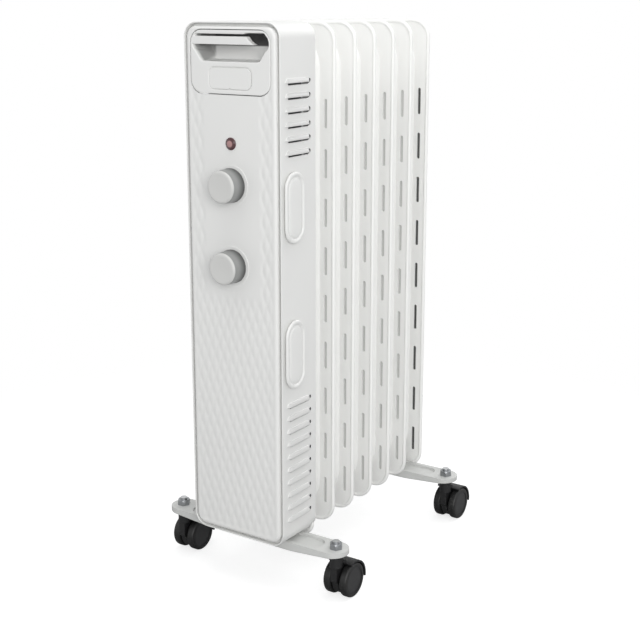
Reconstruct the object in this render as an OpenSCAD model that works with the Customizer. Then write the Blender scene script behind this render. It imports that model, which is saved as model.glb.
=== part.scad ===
// Oil filled radiator heater. Seven pressed steel fins are welded on two collectors, a control
// housing stands on the front foot bar and holds the first fin, and two pressed foot bars run on
// twin-wheel casters. Millimetres, +Z up. The control panel faces -Y and the floor is Z = 0.

/* [Fins] */
// Height of the heater above the floor
heater_h = 620; // [580:5:680]
// Distance from one fin to the next
fin_pitch = 41; // [40:0.5:46]
// Width of a fin
fin_w = 122; // [118:1:130]
// Height of the fins' lower edge above the floor
fin_bottom = 52; // [48:0.5:54]
// Outer corner radius of a fin
fin_corner = 22; // [18:0.5:26]
// Thickness of a fin's two welded sheets together
sheet_t = 1.6; // [1:0.1:2.4]
// Radius of the rolled edge round a fin
edge_r = 2.2; // [1.6:0.1:3]
// Width of the field of oil channels on a fin
channels_w = 82; // [78:1:86]
// Distance that the channels stand out from a fin's middle plane
channel_out = 6; // [4.5:0.5:7]
// Margin from the channels to a fin's upper and lower edge
channel_margin = 11; // [10:0.5:14]
// Radius of the grooves between the channels
groove_r = 7; // [5:0.5:8]
// Distance from one groove to the next
groove_gap = 21; // [18:0.5:22]

/* [Fin slots] */
// Number of slots in a column
slot_count = 9; // [6:1:9]
// Length of a slot
slot_len = 32; // [24:1:38]
// Width of a slot
slot_w = 4; // [3:0.25:5]
// Distance from one slot to the next
slot_pitch = 54; // [44:1:55]
// Distance from a fin's side edge to the middle of its slots
slot_inset = 12.5; // [11.5:0.25:13]
// Height of the lowest slot's middle above the fin's lower edge
slot_low = 38.5; // [34:0.5:44]
// Wall of the louvre pressed out behind a slot
louvre_t = 0.9; // [0.6:0.1:1.2]

/* [Collectors] */
// Height of the lower collector's axis above the fins' lower edge
collector_low = 46; // [43:0.5:50]
// Distance of the upper collector's axis below the fins' upper edge
collector_high = 50; // [43:0.5:55]
// Outer radius of a collector where two fins are welded
neck_r = 26; // [24:0.5:27]
// Outer radius of a collector at a fin's middle plane
hub_r = 36; // [33:0.5:37]
// Length of a hub's tapered part
hub_taper = 14; // [11:0.5:15]
// Bore radius of a collector
collector_bore = 22; // [21:0.25:22.5]
// Height of the closed hubs on the back of the last fin
end_cap = 9; // [8:0.5:11]

/* [Housing] */
// Width of the housing's shell
housing_w = 123; // [120:1:132]
// Distance from the front panel's face to the first fin's middle
fin_setback = 63; // [61:0.5:70]
// Wall of the shell
shell_t = 1.4; // [1.1:0.1:2]
// Outer corner radius of the shell
shell_corner = 16; // [14:0.5:20]
// Distance that the front panel stands ahead of the shell's rim
panel_proud = 2; // [1:0.25:3]
// Gap all round between the front panel and the shell
panel_gap = 2.2; // [1.5:0.1:2.8]
// Wall of the front panel
panel_t = 2.4; // [2:0.1:3]
// Radius of the front panel's edge
panel_edge = 5; // [4:0.25:5.5]
// Depth of the front panel's skirt from its face
panel_depth = 10; // [9:0.5:12]
// Thickness of the rear shield
shield_t = 1.2; // [1:0.1:1.6]

/* [Handle] */
// Width of the handle moulding
handle_w = 103; // [98:0.5:105]
// Distance from the top of the heater to the moulding's upper edge
handle_top = 7.5; // [7:0.25:9]
// Distance from the top of the heater to the moulding's lower edge
handle_low = 73; // [70:0.5:78]
// Corner radius of the handle moulding
handle_corner = 14; // [9:0.5:15]
// Distance from the top of the heater to the finger pocket's roof
pocket_top = 13; // [12.5:0.25:15]
// Distance from the top of the heater to the finger pocket's floor
pocket_low = 39; // [36:0.5:41]
// Depth of the finger pocket
pocket_depth = 24; // [20:0.5:27]
// Width of the finger pocket at its floor
pocket_w = 77; // [70:0.5:80]
// Distance from the top of the heater to the grip bar's axis
grip_drop = 18.5; // [17.5:0.25:20]
// Diameter of the grip bar across the finger pocket
grip_d = 8; // [7:0.25:8.5]
// Distance from the middle to the grip bar's free end
grip_end = 30; // [24:1:34]
// Width of the blank cover
cover_w = 55; // [48:0.5:60]
// Height of the blank cover
cover_h = 23; // [18:0.5:24]
// Distance from the finger pocket's floor to the blank cover
cover_gap = 6; // [3:0.5:7]
// Wall of the handle moulding
handle_t = 2.4; // [2:0.1:3]

/* [Controls] */
// Distance from the top of the heater to the selector knob's axis
selector_drop = 166; // [160:1:172]
// Distance from the top of the heater to the thermostat knob's axis
thermostat_drop = 252; // [244:1:260]
// Distance from the top of the heater to the indicator lamp's axis
lamp_drop = 123; // [112:1:128]
// Diameter of a knob
knob_d = 36; // [30:0.5:40]
// Distance that a knob stands out of the front panel
knob_out = 20; // [17:0.5:24]
// Diameter of a control shaft
shaft_d = 6; // [5:0.25:6.5]
// Diameter of the indicator lens
lens_d = 13; // [10:0.5:15]

/* [Side louvres] */
// Number of louvres in the upper row of a side
upper_louvres = 6; // [3:1:6]
// Number of louvres in the lower row of a side
lower_louvres = 10; // [6:1:10]
// Distance from one louvre to the next
louvre_pitch = 14.5; // [13.5:0.25:14.5]
// Distance from the top of the heater to the highest louvre
louvre_drop = 61; // [56:1:62]
// Height of the lowest louvre above the floor
louvre_low = 87; // [84:1:92]
// Length of a louvre's level part
louvre_len = 34; // [26:0.5:35]
// Height of a louvre's opening
louvre_gap = 2.2; // [1.6:0.1:2.6]
// Distance that a louvre's hood stands out of the shell
hood_out = 3; // [2:0.1:3.2]

/* [Cord cleats] */
// Width of a cord cleat
cleat_w = 35; // [30:0.5:37]
// Height of a cord cleat
cleat_h = 75; // [66:1:80]
// Distance from the top of the heater to the upper cleat's middle
cleat_upper_drop = 187; // [184:1:192]
// Height of the lower cleat's middle above the floor
cleat_low = 276; // [270:1:280]
// Distance from the front panel's face to the cleats' middle
cleat_setback = 22.5; // [21.5:0.5:26]
// Thickness of a cleat's plate
cleat_t = 3; // [2.6:0.1:3.6]
// Gap between a cleat's plate and the shell
cleat_neck = 2; // [1.5:0.25:4]

/* [Feet] */
// Length of a foot bar
bar_len = 243; // [236:1:256]
// Width of a foot bar
bar_w = 33; // [30:0.5:34]
// Height of a foot bar's top above the floor
bar_top = 60; // [59:0.5:63]
// Depth of a foot bar's sides at its middle
bar_depth = 10; // [9:0.5:11]
// Depth of a foot bar's sides at its ends
bar_end_depth = 5; // [4:0.25:6]
// Sheet thickness of a foot bar
bar_t = 1.6; // [1.4:0.1:2]
// Depth of the panel pressed into a foot bar's top
bar_recess = 2.4; // [2:0.1:2.8]
// Distance from a foot bar's end to its caster stem
stem_inset = 14; // [13:0.5:16]
// Distance from the front panel's face to the front casters' stems
front_stem_setback = 36; // [33:0.5:38]

/* [Casters] */
// Diameter of a caster wheel
wheel_d = 39; // [36:0.5:40]
// Width of one wheel
wheel_w = 9.5; // [8:0.25:11]
// Width of the web between the two wheels
web_w = 8; // [7.5:0.25:9]
// Gap between a wheel and the web
wheel_gap = 1.5; // [1:0.1:2]
// Distance from a caster's stem to its axle
trail = 15.5; // [14:0.25:17]
// Diameter of the pin that a caster swivels on
pin_d = 5; // [4:0.25:5]
// Diameter of the threaded part of a stem
stem_d = 8; // [6:0.5:8]
// Diameter of the axle
axle_d = 4; // [3:0.25:5]

/* [Clearances] */
// Running clearance round shafts, pins and axles, on the radius
run_fit = 0.05; // [0.02:0.01:0.1]
// Clearance of a piece fitted in a hole or round a boss
fit = 0.2; // [0.1:0.05:0.4]
// Seat clearance between curved pieces
seat = 0.3; // [0.2:0.05:0.5]
// Gap under a knob and above a caster's socket
turn_gap = 0.5; // [0.3:0.1:0.8]

/* [Hidden] */
$fn = 48;

white = "#e9e9e6";
shadow_white = "#dededb";
knob_grey = "#b9bbbb";
zinc = "#b4b7ba";
black = "#1f2021";
brass = "#b99a4b";
steel = "#8f9498";
lamp_red = "#a8242c";
bakelite = "#2b2724";
overlap = 1;

// Depth, from the knobs' faces to the rear casters' hoods
fin_count = 7;
wheel_r = wheel_d/2;
hood_gap = 1.2;
web_lift = 2.5;
caster_hood_t = 2;
caster_hood_r = wheel_r + hood_gap + caster_hood_t;
total_depth = knob_out + fin_setback + (fin_count - 1.5)*fin_pitch + trail + caster_hood_r;
panel_y = knob_out - total_depth/2;
fin_1_y = panel_y + fin_setback;
front_stem_y = panel_y + front_stem_setback;
rear_stem_y = fin_1_y + (fin_count - 1.5)*fin_pitch;

// Fins and collectors
fin_h = heater_h - fin_bottom;
fin_mid = (heater_h + fin_bottom)/2;
low_axis = fin_bottom + collector_low;
high_axis = heater_h - collector_high;
hub_front_y = fin_1_y - fin_pitch/2;
louvre_r = slot_w/2 + louvre_t + 0.1;

// Housing
housing_h = heater_h - bar_top;
housing_mid = (heater_h + bar_top)/2;
shell_front_y = panel_y + panel_proud;
shell_rear_y = fin_1_y + edge_r;
inner_w = housing_w - 2*shell_t;
inner_h = housing_h - 2*shell_t;
panel_w = inner_w - 2*panel_gap;
panel_h = inner_h - 2*panel_gap;
panel_corner = shell_corner - shell_t - panel_gap;
panel_back_y = panel_y + panel_t;
skirt_y = panel_y + panel_depth;
shield_y = hub_front_y - shield_t;
lug = 7;

// Controls
bracket_y = panel_y + 14;
bracket_t = 1.5;
switch_y = bracket_y + bracket_t;
selector_z = heater_h - selector_drop;
thermostat_z = heater_h - thermostat_drop;
lamp_z = heater_h - lamp_drop;
switch_depth = 18;
bushing_r = shaft_d/2 + 2;
ring_t = 0.6;
knob_skirt_y = panel_y - ring_t - turn_gap;
shaft_tip_y = panel_y - knob_out + 4;
shaft_end_y = switch_y + 11;
post_r = 3.5;
bracket_w = 74;

// Feet
stem_x = bar_len/2 - stem_inset;
stem_r = stem_d/2;
pin_r = pin_d/2;
nut_h = 6.5;
washer_z = bar_top - bar_t;
collar_h = 5;
socket_top = washer_z - collar_h - turn_gap;
recess_floor = bar_top - bar_recess;
u_bolt_r = 2.5;
u_bolt_x = neck_r + seat + u_bolt_r;
wheel_x = web_w/2 + wheel_gap + wheel_w/2;
caster_w = web_w + 2*wheel_gap + 2*wheel_w;

// ---------------------------------------------------------------- shared shapes

// Rectangle with round corners, centred
module rounded(w, h, r) {
    square([w - 2*r, h], center = true);
    square([w, h - 2*r], center = true);
    for (x = [-1, 1], z = [-1, 1])
        translate([x*(w/2 - r), z*(h/2 - r)]) circle(r);
}

// Slot with round ends, standing upright, w across and l long
module obround(w, l) {
    square([w, l - w], center = true);
    for (z = [-1, 1]) translate([0, z*(l - w)/2]) circle(w/2);
}

// Straight stroke with round ends from a to b
module stroke(a, b, w) {
    d = b - a;
    translate(a) rotate(atan2(d.y, d.x)) translate([0, -w/2]) square([norm(d), w]);
    for (p = [a, b]) translate(p) circle(w/2);
}

// Upright plate whose front face is at y: the outline's own x and y become X and Z
module upright(y, t) {
    translate([0, y + t, 0]) rotate([90, 0, 0]) linear_extrude(t) children();
}

// Plate on a side wall, from x outwards: the outline's own x and y become Y and Z
module sideways(x, t) {
    translate([x, 0, 0]) rotate([90, 0, 90]) linear_extrude(t) children();
}

// Round bar along Y from y, h long
module along_y(y, h, r) {
    translate([0, y, 0]) rotate([-90, 0, 0]) cylinder(r = r, h = h);
}

// Round bar of radius r bent round a rectangle with round corners, w by h outside
module edge_bead(w, h, corner, r) {
    for (x = [-1, 1])
        translate([x*(w/2 - r), 0, 0]) cylinder(r = r, h = h - 2*corner, center = true);
    for (z = [-1, 1])
        translate([0, 0, z*(h/2 - r)]) rotate([0, 90, 0])
            cylinder(r = r, h = w - 2*corner, center = true);
    for (i = [0:3])
        translate([(i == 0 || i == 3 ? 1 : -1)*(w/2 - corner), 0,
                (i < 2 ? 1 : -1)*(h/2 - corner)])
            rotate([90, 0, 0]) rotate(90*i)
                rotate_extrude(angle = 90) translate([corner - r, 0]) circle(r);
}

// Slab of thickness 2*r with a fully round edge
module soft_slab(w, h, corner, r) {
    upright(-r, 2*r) rounded(w - 2*r, h - 2*r, corner - r);
    edge_bead(w, h, corner, r);
}

// ---------------------------------------------------------------- fins

// One hub of a collector, standing out len along +Z
module hub(len) {
    taper = min(len, hub_taper);
    cylinder(r1 = hub_r, r2 = hub_r - (hub_r - neck_r)*taper/hub_taper, h = taper);
    if (len > hub_taper) cylinder(r = neck_r, h = len);
}

// Rounded groove between two oil channels, on both sides of the fin
module groove() {
    reach = (high_axis - low_axis)/2 - hub_r + 4;
    for (y = [-1, 1]) translate([0, y*(sheet_t/2 + groove_r), 0]) {
        cylinder(r = groove_r, h = 2*reach, center = true);
        for (z = [-1, 1]) translate([0, 0, z*reach]) sphere(groove_r);
    }
}

// Louvre pressed out behind a slot: it hangs on the slot's inner edge and opens outwards
module slot_louvre() {
    linear_extrude(slot_len, center = true) intersection() {
        difference() {
            circle(louvre_r);
            circle(louvre_r - louvre_t);
        }
        translate([-louvre_r - overlap, 0]) square([louvre_r + overlap + slot_w/4, louvre_r + overlap]);
    }
}

// One fin, w wide with its top at top_z; the hubs on the back of the last one are closed
module fin(w, top_z, corner, number) {
    last = number == fin_count;
    rear = last ? end_cap : fin_pitch/2;
    slot_x = w/2 - slot_inset;
    h = top_z - fin_bottom;
    axes = [low_axis - fin_mid, high_axis - fin_mid];
    color(white) translate([0, fin_1_y + (number - 1)*fin_pitch, fin_mid]) difference() {
        union() {
            translate([0, 0, (h - fin_h)/2]) {
                upright(-sheet_t/2, sheet_t)
                    rounded(w - 2*edge_r, h - 2*edge_r, corner - edge_r);
                edge_bead(w, h, corner, edge_r);
            }
            difference() {
                soft_slab(channels_w, fin_h - 2*channel_margin, channels_w/2 - 3, channel_out);
                for (x = [-1:1]) translate([x*groove_gap, 0, 0]) groove();
            }
            for (z = axes) translate([0, 0, z]) {
                rotate([90, 0, 0]) hub(fin_pitch/2);
                rotate([-90, 0, 0]) hub(rear);
            }
            for (x = [-1, 1], i = [0:slot_count - 1])
                translate([x*slot_x, 0, slot_low - fin_h/2 + i*slot_pitch])
                    mirror([x < 0 ? 1 : 0, 0, 0]) slot_louvre();
        }
        for (z = axes) translate([0, 0, z])
            along_y(-fin_pitch/2 - overlap, fin_pitch/2 + rear + (last ? -2 : 2)*overlap,
                collector_bore);
        for (x = [-1, 1], i = [0:slot_count - 1])
            translate([x*slot_x, 0, slot_low - fin_h/2 + i*slot_pitch])
                upright(-sheet_t, 2*sheet_t) obround(slot_w, slot_len);
    }
}

module fin_1() { fin(inner_w - 2*fit, heater_h - shell_t - fit, shell_corner - shell_t - fit, 1); }
module fin_2() { fin(fin_w, heater_h, fin_corner, 2); }
module fin_3() { fin(fin_w, heater_h, fin_corner, 3); }
module fin_4() { fin(fin_w, heater_h, fin_corner, 4); }
module fin_5() { fin(fin_w, heater_h, fin_corner, 5); }
module fin_6() { fin(fin_w, heater_h, fin_corner, 6); }
module fin_7() { fin(fin_w, heater_h, fin_corner, 7); }

// ---------------------------------------------------------------- collector ends

plug_flange_r = neck_r + 2;
plug_flange_t = 3;

// Screwed plug of the upper collector, with a hexagon to turn it
module oil_filler_plug() {
    color(zinc) translate([0, 0, high_axis]) {
        along_y(shield_y - plug_flange_t, plug_flange_t, plug_flange_r);
        along_y(shield_y, 12, collector_bore - fit);
        translate([0, shield_y - plug_flange_t, 0]) rotate([90, 0, 0])
            cylinder(r = 11, h = 5, $fn = 6);
    }
}

element_r = 4;
element_gap = 8;
flange_t = 6;
gasket_t = 1;
flange_y = shield_y - gasket_t - flange_t;
pin_out = 12;
element_len = 4*fin_pitch;

// One hairpin tube: two legs through the flange and a bend at the far end
module hairpin(z) {
    color(steel) translate([0, 0, low_axis + z]) {
        for (x = [-1, 1]) translate([x*element_gap, 0, 0]) {
            along_y(flange_y - pin_out/2, element_len + pin_out/2, element_r);
            along_y(flange_y - pin_out, pin_out/2, element_r/3);
        }
        translate([0, flange_y + element_len, 0])
            rotate_extrude(angle = 180) translate([element_gap, 0]) circle(element_r);
    }
}

module heating_element_low() { hairpin(-7); }
module heating_element_high() { hairpin(7); }

// Brass flange that closes the lower collector and carries both hairpins
module element_flange() {
    color(brass) translate([0, 0, low_axis]) difference() {
        union() {
            along_y(flange_y, flange_t, plug_flange_r + 2);
            along_y(flange_y - 4, 4 + overlap, 18);
            along_y(flange_y, flange_t + gasket_t + shield_t + 10, collector_bore - fit);
        }
        for (x = [-1, 1], z = [-7, 7]) translate([x*element_gap, 0, z])
            along_y(flange_y - 5, 40, element_r + fit/2);
    }
}

// Seal under the element's flange
module element_gasket() {
    color(black) translate([0, 0, low_axis]) difference() {
        along_y(shield_y - gasket_t, gasket_t, plug_flange_r + 1);
        along_y(shield_y - gasket_t - overlap, gasket_t + 2*overlap, collector_bore);
    }
}

// ---------------------------------------------------------------- housing

lug_heights = [bar_top + 15, housing_mid, heater_h - 40];
upper_rows = [for (i = [0:upper_louvres - 1]) heater_h - louvre_drop - i*louvre_pitch];
lower_rows = [for (i = [0:lower_louvres - 1]) louvre_low + i*louvre_pitch];
left_rows = [for (i = [1:lower_louvres - 1]) lower_rows[i]];
louvre_y = panel_y + 15.5;
tail_start = [1, 1];
tail = [3.4, 1.4];
tail_w = 4.4;
tail_waist = 0.3;

// Outline of one louvre's opening: a level slot with its rear end turned up
module louvre_opening() {
    stroke([louvre_gap/2, 0], [louvre_len, 0], louvre_gap);
    translate([louvre_len, 0]) {
        stroke(tail_start, tail_start + tail, tail_w - tail_waist);
        for (p = [tail_start, tail_start + tail]) translate(p) circle(tail_w/2);
    }
}

// Hood over the level slot, on the +X wall: a low arc that opens downwards
module louvre_hood() {
    sink = 2.4;
    r = hood_out + sink;
    wall = 1;
    lip = louvre_gap/2;
    difference() {
        translate([-sink, 0, lip]) {
            rotate([-90, 0, 0]) cylinder(r = r, h = louvre_len);
            sphere(r);
        }
        translate([-sink, 0, lip]) {
            rotate([-90, 0, 0]) cylinder(r = r - wall, h = louvre_len + overlap);
            sphere(r - wall);
        }
        translate([-2*r, -2*r, -2*r]) cube([4*r, louvre_len + 4*r, 2*r + lip]);
        translate([-3*r - shell_t/2, -2*r, -2*r]) cube([3*r, louvre_len + 4*r, 4*r]);
    }
}

// Screw lugs on the shell's side walls, behind the front panel and the rear shield
module shell_lugs() {
    for (x = [-1, 1], z = lug_heights) translate([x*(inner_w/2 - lug/2 + overlap/2), 0, z]) {
        translate([0, skirt_y + lug/2, 0]) cube([lug + overlap, lug, lug], center = true);
        translate([0, hub_front_y + lug/2, 0]) cube([lug + overlap, lug, lug], center = true);
    }
}

gland_y = shell_front_y + 28;
gland_z = louvre_low - 3;
gland_r = 5.8;
bar_screw_x = 30;
screw_r = 2;

// Pressed sleeve round the controls, open in front and behind; the first fin stands in its
// rear edge and comes out below through a notch in its floor
module housing_shell() {
    color(white) difference() {
        union() {
            translate([0, 0, housing_mid]) difference() {
                union() {
                    upright(shell_front_y + shell_t/2, shell_rear_y - shell_front_y - shell_t)
                        rounded(housing_w, housing_h, shell_corner);
                    for (y = [shell_front_y, shell_rear_y - shell_t])
                        translate([0, y + shell_t/2, 0])
                            edge_bead(housing_w, housing_h, shell_corner, shell_t/2);
                }
                upright(shell_front_y - overlap, shell_rear_y - shell_front_y + 2*overlap)
                    rounded(inner_w, inner_h, shell_corner - shell_t);
            }
            shell_lugs();
            for (x = [0, 1], z = concat(upper_rows, x == 0 ? lower_rows : left_rows))
                mirror([x, 0, 0]) translate([housing_w/2, louvre_y, z]) louvre_hood();
        }
        for (x = [0, 1], z = concat(upper_rows, x == 0 ? lower_rows : left_rows))
            mirror([x, 0, 0]) translate([0, louvre_y, z])
                sideways(inner_w/2 - overlap, shell_t + 1.2*overlap) louvre_opening();
        translate([0, 0, fin_bottom + fin_h/4])
            upright(fin_1_y - edge_r - fit, 2*edge_r + 2*fit)
                rounded(inner_w, fin_h/2 + 2*fit, shell_corner - shell_t);
        translate([-housing_w/2 - overlap, gland_y, gland_z]) rotate([0, 90, 0])
            cylinder(r = gland_r, h = shell_t + 2*overlap);
        for (x = [-1, 1]) translate([x*bar_screw_x, front_stem_y, bar_top - overlap])
            cylinder(r = screw_r + fit, h = shell_t + 2*overlap);
    }
}

// Steel sheet that closes the housing in front of the first fin
module rear_shield() {
    w = inner_w - 2*fit;
    h = inner_h - 2*fit;
    color(steel) difference() {
        translate([0, 0, housing_mid]) upright(shield_y, shield_t)
            rounded(w, h, shell_corner - shell_t);
        for (z = [low_axis, high_axis]) translate([0, 0, z])
            along_y(shield_y - overlap, shield_t + 2*overlap, collector_bore);
        for (x = [-1, 1], z = lug_heights) translate([x*(inner_w/2 - lug/2), 0, z])
            along_y(shield_y - overlap, shield_t + 2*overlap, screw_r + fit);
        for (x = [-1, 1], i = [0:11]) translate([x*32, 0, low_axis + 60 + i*30])
            upright(shield_y - overlap, shield_t + 2*overlap) obround(5, 20);
    }
}

cover_z = heater_h - pocket_low - cover_gap - cover_h/2;
cover_corner = 7;
posts = [for (x = [-1, 1], z = [selector_z + 24, thermostat_z - 24]) [x*(bracket_w/2 - 5), z]];

// Outline of the handle moulding, less gap all round
module handle_outline(gap) {
    h = handle_low - handle_top;
    translate([0, heater_h - (handle_low + handle_top)/2])
        rounded(handle_w - 2*gap, h - 2*gap, handle_corner - gap);
}

// Front panel: a tray with a soft edge, holes for the controls and posts behind
module front_panel() {
    color(white) difference() {
        union() {
            translate([0, 0, housing_mid]) difference() {
                union() {
                    translate([0, panel_y + panel_edge, 0])
                        soft_slab(panel_w, panel_h, panel_corner, panel_edge);
                    upright(panel_y + panel_edge, panel_depth - panel_edge)
                        rounded(panel_w, panel_h, panel_corner);
                }
                upright(panel_back_y, panel_depth)
                    rounded(panel_w - 2*panel_t, panel_h - 2*panel_t, panel_corner - panel_t);
            }
            for (p = posts) translate([p.x, 0, p.y])
                along_y(panel_back_y - overlap, bracket_y - panel_back_y + overlap, post_r);
        }
        upright(panel_y - overlap, 2*panel_depth) handle_outline(0);
        for (z = [selector_z, thermostat_z]) translate([0, 0, z])
            along_y(panel_y - overlap, panel_t + 2*overlap, bushing_r + fit);
        translate([0, 0, lamp_z])
            along_y(panel_y - overlap, panel_t + 2*overlap, lens_d/2 - 1 + fit);
    }
}

// Outline of the finger pocket: its ends lean outwards up to the grip bar, and its upper
// corners follow the moulding's
module pocket_outline(wall) {
    r = 7;
    roof_z = heater_h - pocket_top + wall;
    floor_z = heater_h - pocket_low - wall;
    flare_z = heater_h - grip_drop - grip_d/2;
    low = pocket_w/2 + wall;
    high = handle_w/2;
    intersection() {
        handle_outline(fit + handle_t - wall);
        union() {
            polygon([[-low + r, floor_z], [low - r, floor_z], [low, floor_z + r],
                [high, flare_z], [high, roof_z], [-high, roof_z], [-high, flare_z],
                [-low, floor_z + r]]);
            for (x = [-1, 1]) translate([x*(low - r), floor_z + r]) circle(r);
        }
    }
}

// What the grip bar fills of the pocket's width: its free end slants up to the left
module grip_outline() {
    axis_z = heater_h - grip_drop;
    polygon([[-handle_w, axis_z - grip_d], [grip_end + grip_d/2, axis_z - grip_d],
        [grip_end - grip_d, axis_z + grip_d/2], [-handle_w, axis_z + grip_d/2]]);
}

// Handle: a plate with the finger pocket behind it and the grip bar along its top, held at
// its left end
module handle_moulding() {
    wall = 1.6;
    color(white) {
        difference() {
            union() {
                upright(panel_y, handle_t) handle_outline(fit);
                upright(panel_y, pocket_depth) pocket_outline(wall);
            }
            upright(panel_y - overlap, pocket_depth - wall + overlap) pocket_outline(0);
            translate([0, 0, cover_z]) upright(panel_y - overlap, overlap + 1)
                rounded(cover_w, cover_h, cover_corner);
        }
        intersection() {
            translate([-handle_w/2, panel_y + grip_d/2, heater_h - grip_drop])
                rotate([0, 90, 0]) cylinder(d = grip_d, h = handle_w);
            upright(panel_y, pocket_depth) handle_outline(fit);
            upright(panel_y - overlap, pocket_depth) grip_outline();
        }
    }
}

// Blank cover under the finger pocket
module blank_cover() {
    color(white) translate([0, 0, cover_z])
        upright(panel_y - 0.4, 1.4) rounded(cover_w - 2*fit, cover_h - 2*fit, cover_corner - fit);
}

// ---------------------------------------------------------------- cord cleats

// Cleat on the right side wall: a plate on a smaller neck, dished towards one end
module cord_cleat(z, lean) {
    bead = cleat_t/2 - 0.1;
    r = cleat_w/2;
    color(white) translate([housing_w/2, panel_y + cleat_setback, z]) difference() {
        union() {
            sideways(0, cleat_neck + overlap) obround(cleat_w - 12, cleat_h - 12);
            sideways(cleat_neck, cleat_t) obround(cleat_w - 2*bead, cleat_h - 2*bead);
            translate([cleat_neck + bead, 0, 0]) rotate([0, 0, 90])
                edge_bead(cleat_w, cleat_h, r - 0.5, bead);
        }
        translate([cleat_neck + cleat_t + 1.2, 0, 0]) rotate([0, lean, 0])
            sideways(-2.6, 2.6 + 4) obround(cleat_w - 13, cleat_h - 12);
    }
}

module cord_cleat_upper() { cord_cleat(heater_h - cleat_upper_drop, 1.6); }
module cord_cleat_lower() { cord_cleat(cleat_low, -1.6); }

// ---------------------------------------------------------------- controls

// Steel bracket on the panel's posts that carries the selector and the thermostat
module control_bracket() {
    low_z = thermostat_z - 24 - post_r;
    high_z = selector_z + 24 + post_r;
    color(steel) difference() {
        translate([0, 0, (low_z + high_z)/2]) upright(bracket_y, bracket_t)
            rounded(bracket_w, high_z - low_z, 5);
        for (z = [selector_z, thermostat_z]) translate([0, 0, z])
            along_y(bracket_y - overlap, bracket_t + 2*overlap, bushing_r + fit);
    }
}

// Body with a threaded bushing that reaches forward through the bracket
module switch_body(z, w) {
    difference() {
        translate([0, 0, z]) {
            upright(switch_y, switch_depth) rounded(w, w, 4);
            along_y(panel_back_y + overlap, switch_y - panel_back_y, bushing_r);
        }
        translate([0, 0, z])
            along_y(panel_y, shaft_end_y + run_fit - panel_y, shaft_d/2 + run_fit);
    }
}

module selector_switch() { color(bakelite) switch_body(selector_z, 34); }
module thermostat() { color(bakelite) switch_body(thermostat_z, 40); }

// Control shaft with a flat along the part that the knob grips
module control_shaft(z) {
    color(zinc) translate([0, 0, z]) difference() {
        along_y(shaft_tip_y, shaft_end_y - shaft_tip_y, shaft_d/2);
        translate([-shaft_d, shaft_tip_y - overlap, shaft_d/2 - 1])
            cube([2*shaft_d, knob_skirt_y - shaft_tip_y, shaft_d]);
    }
}

module selector_shaft() { control_shaft(selector_z); }
module thermostat_shaft() { control_shaft(thermostat_z); }

// Knob: a tapered cup with a boss inside and an index groove on its face
module knob(z) {
    r = knob_d/2;
    face_y = panel_y - knob_out;
    depth = knob_skirt_y - face_y;
    edge = 2;
    color(knob_grey) translate([0, 0, z]) difference() {
        translate([0, knob_skirt_y, 0]) rotate([90, 0, 0]) {
            cylinder(r1 = r, r2 = r - 1.4, h = depth - edge);
            translate([0, 0, depth - edge]) cylinder(r = r - 1.4 - edge, h = edge);
            translate([0, 0, depth - edge]) rotate_extrude()
                translate([r - 1.4 - edge, 0]) circle(edge);
        }
        difference() {
            along_y(face_y + 3, depth, r - 4);
            along_y(face_y, depth, shaft_d/2 + 2);
        }
        difference() {
            along_y(shaft_tip_y - fit, depth, shaft_d/2 + run_fit);
            translate([-shaft_d, face_y, shaft_d/2 - 1 + run_fit])
                cube([2*shaft_d, depth - overlap, shaft_d]);
        }
        translate([-1, face_y - overlap, r/2]) cube([2, overlap + 0.6, r]);
    }
}

module selector_knob() { knob(selector_z); }
module thermostat_knob() { knob(thermostat_z); }

// Thin scale rings on the panel round both knobs
module dial_rings() {
    color(shadow_white) for (z = [selector_z, thermostat_z]) translate([0, 0, z]) difference() {
        along_y(panel_y - ring_t, ring_t, knob_d/2 + 3);
        along_y(panel_y - ring_t - overlap, ring_t + 2*overlap, knob_d/2 - 2);
    }
}

// Red lens: a low dome in front of the panel on a tube through it
module indicator_lens() {
    dome = 2.2;
    big_r = (lens_d*lens_d/4 + dome*dome)/(2*dome);
    color(lamp_red) translate([0, 0, lamp_z]) difference() {
        union() {
            along_y(panel_y - 0.8, 0.8, lens_d/2);
            intersection() {
                translate([0, panel_y - 0.8 - dome + big_r, 0]) sphere(big_r, $fn = 64);
                along_y(panel_y - 0.8 - dome, dome, lens_d/2);
            }
            along_y(panel_y - overlap, 14 + overlap, lens_d/2 - 1);
        }
        along_y(panel_y + 1, 14, lens_d/2 - 2.2);
    }
}

// Neon lamp pushed into the lens from behind
module neon_lamp() {
    color(shadow_white) translate([0, 0, lamp_z]) {
        along_y(panel_y + 2, 16, lens_d/2 - 2.2 - fit);
        along_y(panel_y + 14, 4, lens_d/2 - 1);
        for (x = [-2, 2]) translate([x, 0, 0]) along_y(panel_y + 18, 5, 0.6);
    }
}

// ---------------------------------------------------------------- inside the housing

tip_z = bar_top + 110;
tip_w = 30;
tip_h = 40;
tip_depth = 22;
tip_y = shield_y - tip_depth;
tip_pin_z = tip_z + tip_h/2 - 7;
tip_wall = 1.8;
tip_pin_r = 1.5;

// Box with a pin across it, open in front
module tip_switch_case() {
    color(bakelite) translate([0, tip_y, 0]) {
        difference() {
            translate([-tip_w/2, 0, tip_z - tip_h/2]) cube([tip_w, tip_depth, tip_h]);
            translate([-tip_w/2 + tip_wall, -overlap, tip_z - tip_h/2 + tip_wall])
                cube([tip_w - 2*tip_wall, tip_depth - tip_wall + overlap, tip_h - 2*tip_wall]);
        }
        translate([0, 0, tip_pin_z])
            along_y(1, tip_depth - tip_wall, tip_pin_r);
    }
}

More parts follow.
